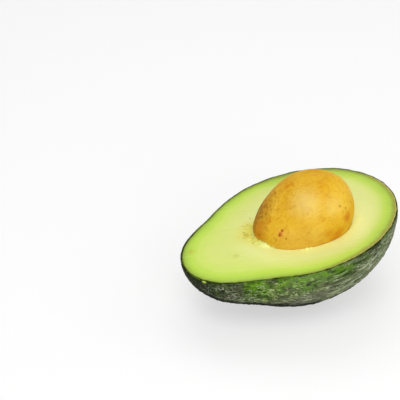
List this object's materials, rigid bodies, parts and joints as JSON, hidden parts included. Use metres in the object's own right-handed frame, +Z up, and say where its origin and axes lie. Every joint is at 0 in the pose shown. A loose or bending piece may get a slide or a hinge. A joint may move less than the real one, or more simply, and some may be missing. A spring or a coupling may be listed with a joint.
{
  "type": "avocado half with stone",
  "caption": "Half an avocado cut lengthwise, lying on its peel, with green to cream flesh facing up and the golden brown stone still resting in its hollow.",
  "frame": {"origin": "middle of the outline seen from above, on the surface that the half rests on", "axes": "+X along the fruit from the stem end to the wide end, +Z up out of the cut face, -Y the side that the picture shows"},
  "size_m": [0.1076, 0.078, 0.0653],
  "materials": {
    "peel": "satin",
    "flesh": "satin",
    "stone": "satin"
  },
  "bodies": {
    "root": {"peel": "peel", "flesh": "flesh", "stone": "stone"}
  },
  "joints": []
}
